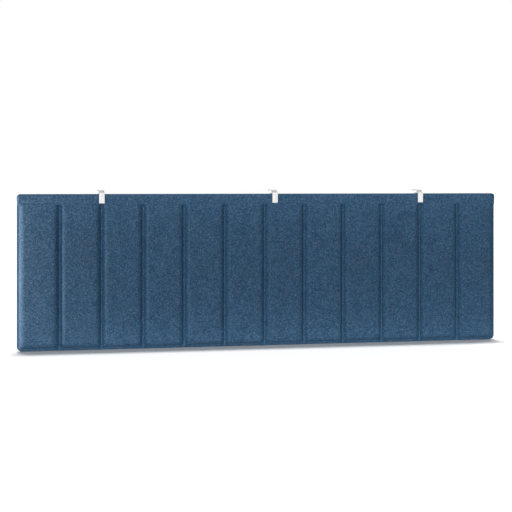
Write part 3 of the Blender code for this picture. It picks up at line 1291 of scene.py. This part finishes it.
    def screw(self) -> Piece:
        """Makes the clamp screw with its thread cut as a helix."""
        low, high = self.boxes["clamp_screw"]
        root = self.screw_radius - self.thread_depth
        taper = 0.0012

        def thread(angle: float, radius: float, y: float) -> float:
            """Radius of the thread at an angle and a place along the screw."""
            phase = (y / self.thread_pitch - angle / (2 * math.pi)) % 1
            crest = min(1.0, 2.6 * min(phase, 1 - phase))
            fade = min(1.0, max(0.0, (min(y - low.y, high.y - y)) / taper))
            return root + self.thread_depth * crest * fade

        rows = math.ceil((high.y - low.y) / (self.thread_pitch / 8))
        step = (high.y - low.y) / rows
        profile = [(root, low.y + step * k) for k in range(rows + 1)]
        return self.spun("threaded_screw", profile, 32, 60.0, thread)

    def knob(self) -> Piece:
        """Makes the lobed knob, with a socket for the screw and a dished face."""
        low, high = self.boxes["clamp_knob"]
        outer = (high.z - low.z) / 2
        bore = self.screw_radius + self.hole_play
        floor = low.y + self.knob_socket
        lead, dish = self.knob_lead_in, high.y - self.knob_dish
        inner, rim = self.knob_inner_round, self.knob_outer_round
        grip = outer * 0.8

        def lobed(angle: float, radius: float, y: float) -> float:
            """Radius with the finger lobes, which fade out towards the middle."""
            share = max(0.0, (radius - grip * 0.7) / (outer - grip * 0.7))
            wave = self.knob_lobe_depth * 1.5 * (1 - math.cos(self.knob_lobes * angle)) / 2
            return radius - wave * share

        profile = [(bore * 0.02, floor), (bore, floor), (bore, low.y + lead)]
        profile += [(bore + lead, low.y), (grip * 0.72, low.y), (grip, low.y + inner)]
        profile += quarter((outer - inner, low.y + 2 * inner), inner, -1, 1)
        profile += quarter((outer - rim, high.y - rim), rim, 0, 1, steps=6)
        profile += [(outer * 0.62, high.y), (outer * 0.56, high.y - self.knob_dish_lip)]
        profile += [(outer * 0.1, dish), (outer * 0.01, dish)]
        return self.spun("lobed_knob", profile, 96, 35.0, lobed)

    def foot(self) -> Piece:
        """Makes the round foot on the screw's tip."""
        low, high = self.boxes["clamp_pad"]
        outer = (high.x - low.x) / 2
        bore = self.screw_radius + self.hole_play
        floor = high.y - self.foot_socket
        lead, soft = self.foot_lead_in, self.foot_round
        collar = high.y - self.foot_slope
        profile = [(bore * 0.02, floor), (bore, floor), (bore, high.y - lead)]
        profile += [(bore + lead, high.y), (bore + 0.0014, high.y)]
        profile += quarter((outer - soft, collar - soft), soft, 1, -1)
        profile += quarter((outer - soft, low.y + soft), soft, 0, -1)
        profile += [(outer * 0.5, low.y), (outer * 0.01, low.y)]
        return self.spun("clamp_foot", profile, 64, 35.0)

    def build(self, dresser: Dresser) -> None:
        """Makes and dresses every piece of the hanger.

        Args:
            dresser: Puts finishes on pieces.
        """
        self.finish_piece(self.clip(), dresser, WHITE, "hanger", "clip")
        self.finish_piece(self.arm(), dresser, GREY, "hanger", "arm")
        self.finish_piece(self.nut(), dresser, ZINC, "hanger", "clamp_nut")
        self.finish_piece(self.screw(), dresser, ZINC, "screw", "clamp_screw")
        self.finish_piece(self.knob(), dresser, PLASTIC, "screw", "clamp_knob")
        self.finish_piece(self.foot(), dresser, RUBBER, "foot", "clamp_pad")


# ---- studio


@dataclass
class Studio:
    """The floor, the lights and the camera."""

    lens: float = 94.9
    camera_place: Place = (-0.880, -3.914, 0.026)
    camera_turn: float = math.radians(-12.32)
    camera_shift: float = -0.1465
    world_strength: float = 0.29
    floor_gap: float = 0.0004
    floor_shade: float = 0.93

    def floor(self) -> None:
        """Makes the pale floor just under the panel's bottom edge."""
        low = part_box("front_shell")[0].z - self.floor_gap
        bm = bmesh.new()
        bmesh.ops.create_grid(bm, x_segments=1, y_segments=1, size=30.0)
        bmesh.ops.translate(bm, verts=bm.verts, vec=(0, 0, low))
        floor = piece_from("studio_floor", bm)
        material, graph, shader = shader_of("pale_floor")
        shade = (self.floor_shade,) * 3
        graph.fill(shader, Base_Color=(*shade, 1.0), Roughness=0.9, Specular_IOR_Level=0.0)
        floor.data.materials.append(material)

    @staticmethod
    def lamp(name: str, kind: str, power: float, run: Vector) -> Piece:
        """Adds one light that shines along a direction.

        Args:
            name: The light's name.
            kind: AREA or SUN.
            power: Its power in watts, or its strength in watts per square metre.
            run: The direction.

        Returns:
            The light.
        """
        data = bpy.data.lights.new(name, kind)
        data.energy = power
        light = linked(name, data)
        light.rotation_euler = run.to_track_quat("-Z", "Y").to_euler()
        return light

    def softbox(
        self,
        name: str,
        place: Place,
        aim: Place,
        size: Flat,
        power: float,
        colour: Colour = (1.0, 1.0, 1.0),
    ) -> None:
        """Hangs one rectangular light that falls on the felt alone.

        Args:
            name: The light's name.
            place: Where it stands.
            aim: What it points at.
            size: Its width and height.
            power: Its power in watts.
            colour: Its colour.
        """
        light = self.lamp(name, "AREA", power, Vector(aim) - Vector(place))
        light.location = place
        light.data.color = colour
        light.data.shape = "RECTANGLE"
        light.data.size, light.data.size_y = size
        light.visible_camera = False
        lit = bpy.data.collections.new(f"{name}_pieces")
        for facing in Facing:
            lit.objects.link(bpy.data.objects[felt_name(facing)])
        light.light_linking.receiver_collection = lit

    def sun(
        self, name: str, turn: float, height: float, spread: float, strength: float
    ) -> None:
        """Adds one distant light.

        Args:
            name: The light's name.
            turn: Its compass angle in degrees, from the front (-Y) towards +X.
            height: Its angle above the floor in degrees.
            spread: The angle that it fills, in degrees.
            strength: Its strength in watts per square metre.
        """
        around, up = math.radians(turn), math.radians(height)
        flat = math.cos(up)
        run = Vector((-math.sin(around) * flat, math.cos(around) * flat, -math.sin(up)))
        self.lamp(name, "SUN", strength, run).data.angle = math.radians(spread)

    def lights(self) -> None:
        """Sets the soft studio light."""
        world = bpy.data.worlds.new("studio_white")
        world.use_nodes = True
        graph = Graph(world.node_tree)
        nodes = world.node_tree.nodes
        around = nodes["Background"]
        graph.fill(around, Color=(0.96, 1.0, 1.04, 1.0), Strength=self.world_strength)
        backdrop = graph.add("ShaderNodeBackground", Color=(1, 1, 1, 1), Strength=1.0)
        share = graph.add("ShaderNodeMixShader")
        path = graph.add("ShaderNodeLightPath")
        graph.feed(path.outputs["Is Camera Ray"], share.inputs[0])
        graph.feed(around.outputs[0], share.inputs[1])
        graph.feed(backdrop.outputs[0], share.inputs[2])
        graph.feed(share.outputs[0], nodes["World Output"].inputs["Surface"])
        bpy.context.scene.world = world
        self.sun("overhead_light", 180.0, 79.0, 9.0, 2.45)
        self.sun("left_key", -52.0, 6.0, 20.0, 1.85)
        self.sun("front_fill", 8.0, 5.0, 40.0, 0.36)
        self.sun("rear_fill", 145.0, 20.0, 40.0, 1.7)
        self.softbox("top_strip", (0, -0.085, 0.01), (0, -0.012, -0.02), (1.6, 0.02), 0.34)
        self.softbox("floor_glow", (0, -0.155, -0.455), (0, 0, -0.42), (1.6, 0.01), 0.55)
        self.softbox("foot_strip", (0, -0.06, -0.452), (0, 0, -0.44), (1.6, 0.008), 0.22)
        self.softbox(
            "end_strip",
            (-0.98, -0.060, -0.23),
            (0, -0.02, -0.23),
            (0.03, 0.42),
            6.2,
            (1.0, 0.70, 0.56),
        )

    def camera(self) -> None:
        """Sets the level camera, a little left of the panel's middle."""
        data = bpy.data.cameras.new("catalogue_camera")
        data.lens = self.lens
        data.sensor_width = 36.0
        data.shift_y = self.camera_shift
        camera = linked("catalogue_camera", data)
        camera.location = self.camera_place
        camera.rotation_euler = (math.pi / 2, 0, self.camera_turn)
        bpy.context.scene.camera = camera

    def build(self) -> None:
        """Sets up the whole studio."""
        self.camera()
        self.lights()
        self.floor()
        settings = bpy.context.scene.view_settings
        settings.view_transform = "Standard"
        settings.look = "None"
        log.info("studio is set")


def main() -> None:
    logging.basicConfig(level=logging.INFO, format="%(name)s: %(message)s")
    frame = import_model()
    dresser = Dresser(NodeKit())
    FeltPanel().build(dresser, frame["nodes"])
    for side in Side:
        Hanger(side).build(dresser)
    Studio().build()


if __name__ == "__main__":
    main()
